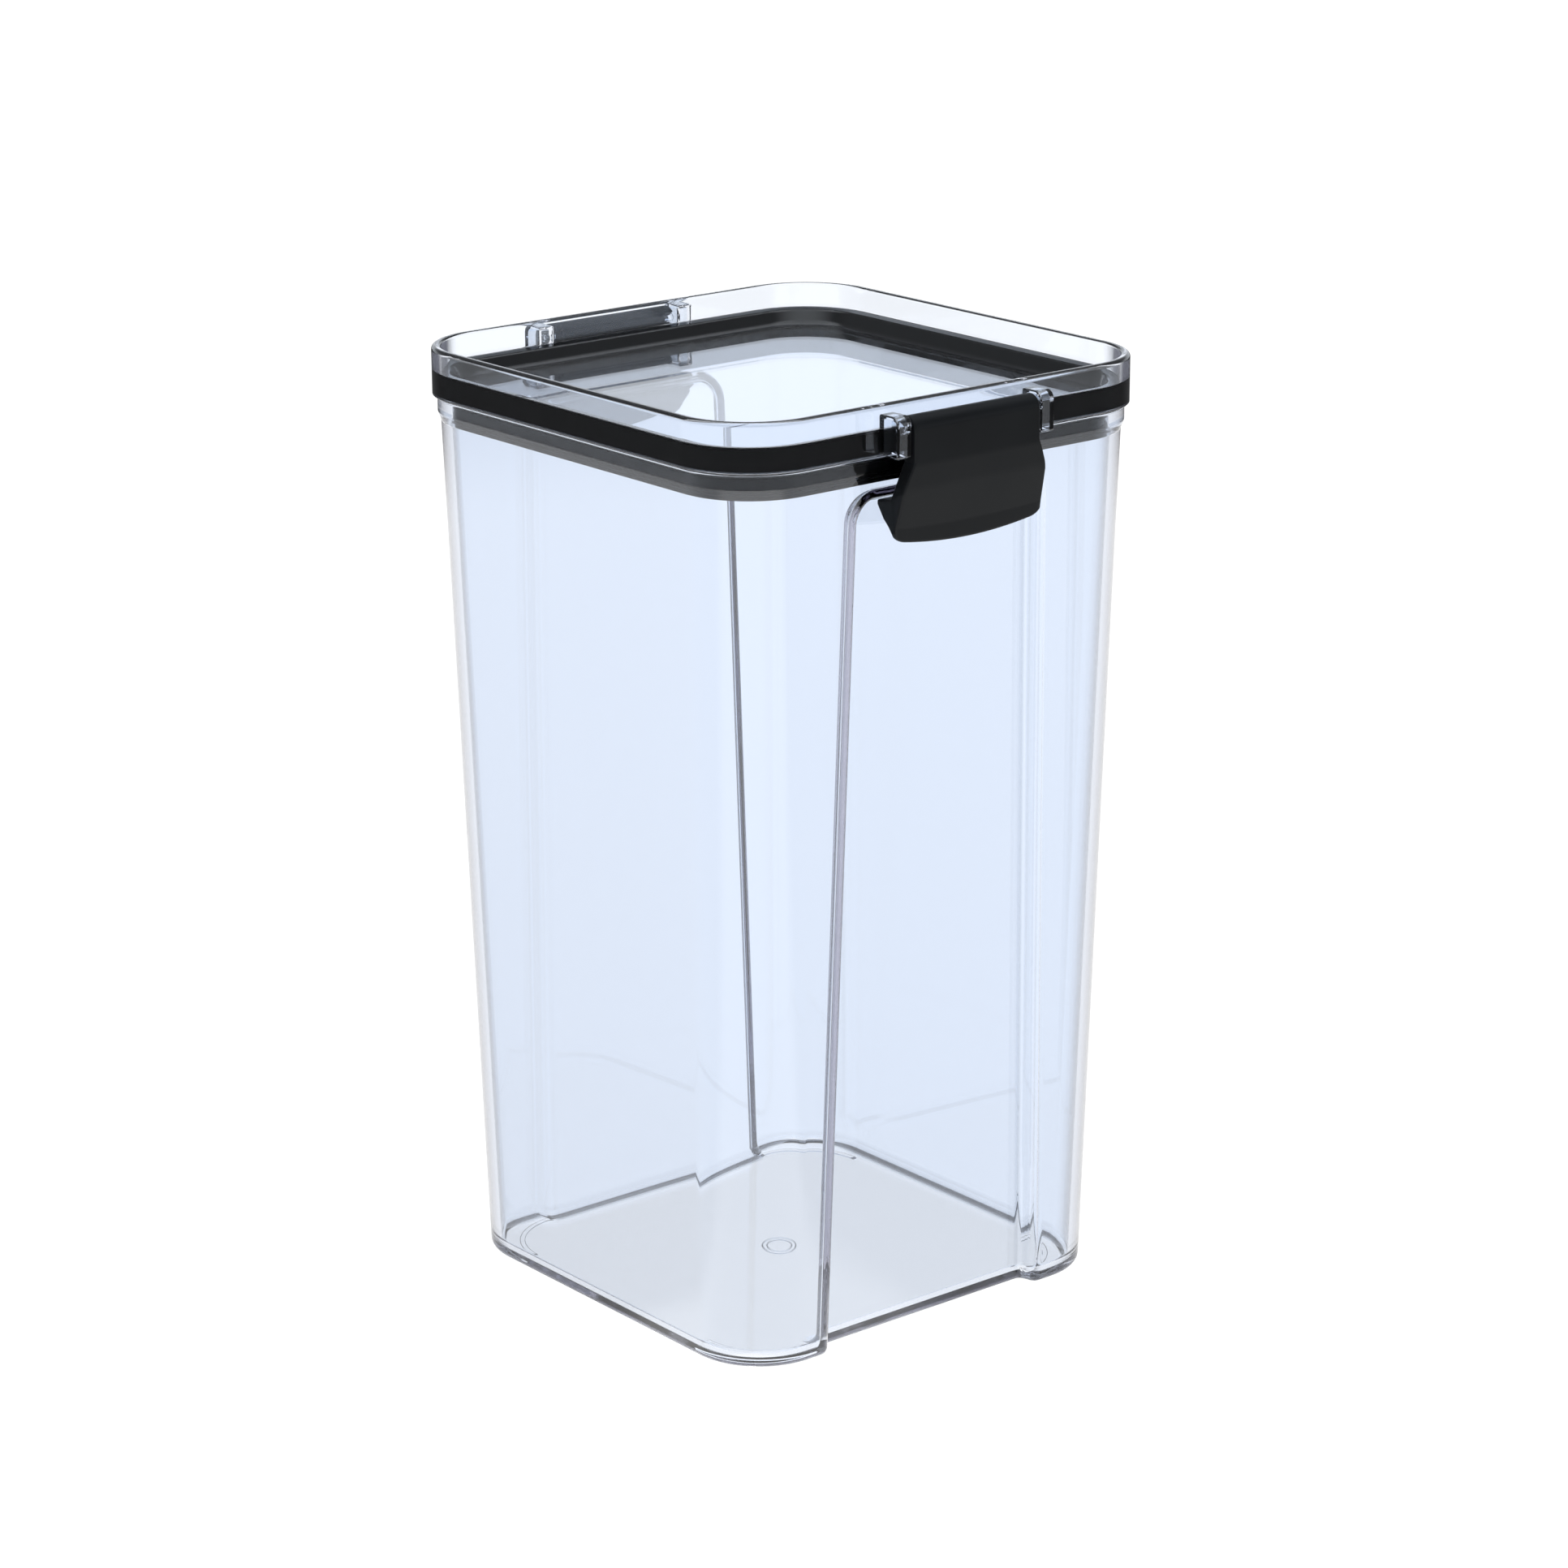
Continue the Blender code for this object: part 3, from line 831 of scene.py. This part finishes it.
def satin_black(name):
    """Black moulded plastic: spark-eroded satin grain, cloudy gloss and fine scuffs."""
    mat, tree, shader = cloudy_black(name, 90.0, 3.0, SATIN, (0.36, 0.46), 0.15)
    grain = bump(tree, noise(tree, 3200.0, 3.0), GRAIN, 0.2)
    scuff = noise(tree, 500.0, 2.0, (0.15, 1, 1))
    tree.links.new(bump(tree, scuff, SCUFF, 0.25, grain), shader.inputs["Normal"])
    return mat


# ---------------------------------------------------------------- studio

def make_world():
    """A soft room: a lit ceiling, dim walls and a white backdrop low behind the table."""
    world = bpy.data.worlds.new("studio")
    bpy.context.scene.world = world
    world.use_nodes = True
    tree = world.node_tree
    place = tree.nodes.new("ShaderNodeTexCoord").outputs["Generated"]
    rise = axis_distance(tree, place, (0, 0, 1))
    ceiling = smooth(tree, rise, *CEILING_RISE, 0.0, CEILING - WALLS)
    low = smooth(tree, rise, *LOW_RISE, LOW_WALLS - WALLS, 0.0)
    ahead = smooth(tree, axis_distance(tree, place, (*AHEAD, 0.0)), *BACKDROP_WIDTH, 0.0, 1.0)
    above = smooth(tree, rise, *BACKDROP_RISE, BACKDROP - LOW_WALLS, 0.0)
    light = maths(tree, "ADD", maths(tree, "MULTIPLY", ahead, above),
                  maths(tree, "ADD", ceiling, low))
    tree.links.new(maths(tree, "ADD", light, WALLS), tree.nodes["Background"].inputs["Strength"])
    tree.nodes["Background"].inputs["Color"].default_value = (*SKY, 1.0)
    return world


def make_floor():
    """A wide, plain, pale table that glows evenly.

    Only rays that a surface reflects see it differently, as painted reflections: a painted pool of
    light near the object, stronger on the side of the camera's first place, which paints a
    highlight on the container's near corner, and painted darkness far away, which keeps black parts
    black.
    """
    mat, tree, shader = new_material("floor_white")
    shader.inputs["Base Color"].default_value = (0.05, 0.05, 0.05, 1)
    shader.inputs["Roughness"].default_value = 0.9
    shader.inputs["Specular IOR Level"].default_value = 0.0
    place = tree.nodes.new("ShaderNodeTexCoord").outputs["Object"]
    reach = tree.nodes.new("ShaderNodeVectorMath")
    reach.operation = "LENGTH"
    tree.links.new(place, reach.inputs[0])
    towards = maths(tree, "DIVIDE", axis_distance(tree, place, (-AHEAD[0], -AHEAD[1], 0.0)),
                    reach.outputs["Value"])
    # Painted reflections: a pool of light near the object, stronger towards the camera's side, and
    # darkness beyond it
    near = maths(tree, "ADD", TABLE_GLOW - FAR_TABLE,
                 smooth(tree, towards, *NEAR_SIDE, 0.0, NEAR_GLOW))
    pool = smooth(tree, reach.outputs["Value"], *POOL, 1.0, 0.0)
    change = maths(tree, "ADD", FAR_TABLE - TABLE_GLOW, maths(tree, "MULTIPLY", near, pool))
    mirrored = tree.nodes.new("ShaderNodeLightPath").outputs["Is Reflection Ray"]
    glow = maths(tree, "ADD", TABLE_GLOW, maths(tree, "MULTIPLY", mirrored, change))
    shader.inputs["Emission Color"].default_value = (1, 1, 1, 1)
    tree.links.new(glow, shader.inputs["Emission Strength"])
    corners = [(x * TABLE_HALF, y * TABLE_HALF, TABLE_DOWN)
               for x, y in ((-1, -1), (1, -1), (1, 1), (-1, 1))]
    floor = mesh_object("floor", corners, [(0, 1, 2, 3)], mat, None)
    return floor


def make_camera():
    """The camera at the studio view, with a long lens."""
    camera = bpy.data.cameras.new("camera")
    camera.lens = LENS
    camera.sensor_width = SENSOR
    camera.sensor_fit = "HORIZONTAL"
    camera.clip_end = 20.0
    obj = bpy.data.objects.new("camera", camera)
    place, target = Vector(CAMERA_PLACE) * MM, Vector(CAMERA_TARGET) * MM
    facing = (target - place).to_track_quat("-Z", "Y").to_matrix()
    roll = Matrix.Rotation(radians(CAMERA_ROLL), 3, "Z")
    obj.rotation_euler = (facing @ roll).to_euler()
    obj.location = place
    bpy.context.scene.collection.objects.link(obj)
    bpy.context.scene.camera = obj
    return obj


def make_studio():
    """Light, view transform and light-path limits for thick clear plastic."""
    scene = bpy.context.scene
    scene.view_settings.view_transform = "Standard"
    for key in ("max_bounces", "transmission_bounces", "transparent_max_bounces"):
        setattr(scene.cycles, key, 32)
    scene.cycles.glossy_bounces = 16
    scene.cycles.diffuse_bounces = 6
    make_world()
    make_floor()


make_container(clear_plastic("clear_body", BODY_TINT, FLOOR_TINT_PAINTED_LIGHT, EDGE_SHADE, EDGE_TURN,
                             PAINTED_BASE_SHADE, BASE_FROST, BODY_WAVE))
make_lid(clear_plastic("clear_lid", LID_TINT, PANEL_TINT, CORNER_SHADE, CORNER_TURN))
make_gasket(silicone("black_silicone"))
black = satin_black("satin_black")
make_latch("front_latch_plate", -1, black, "front_latch", "front_latch")
make_latch("rear_latch_plate", 1, black, "rear_latch", "rear_latch")
make_camera()
make_studio()

bpy.context.view_layer.update()
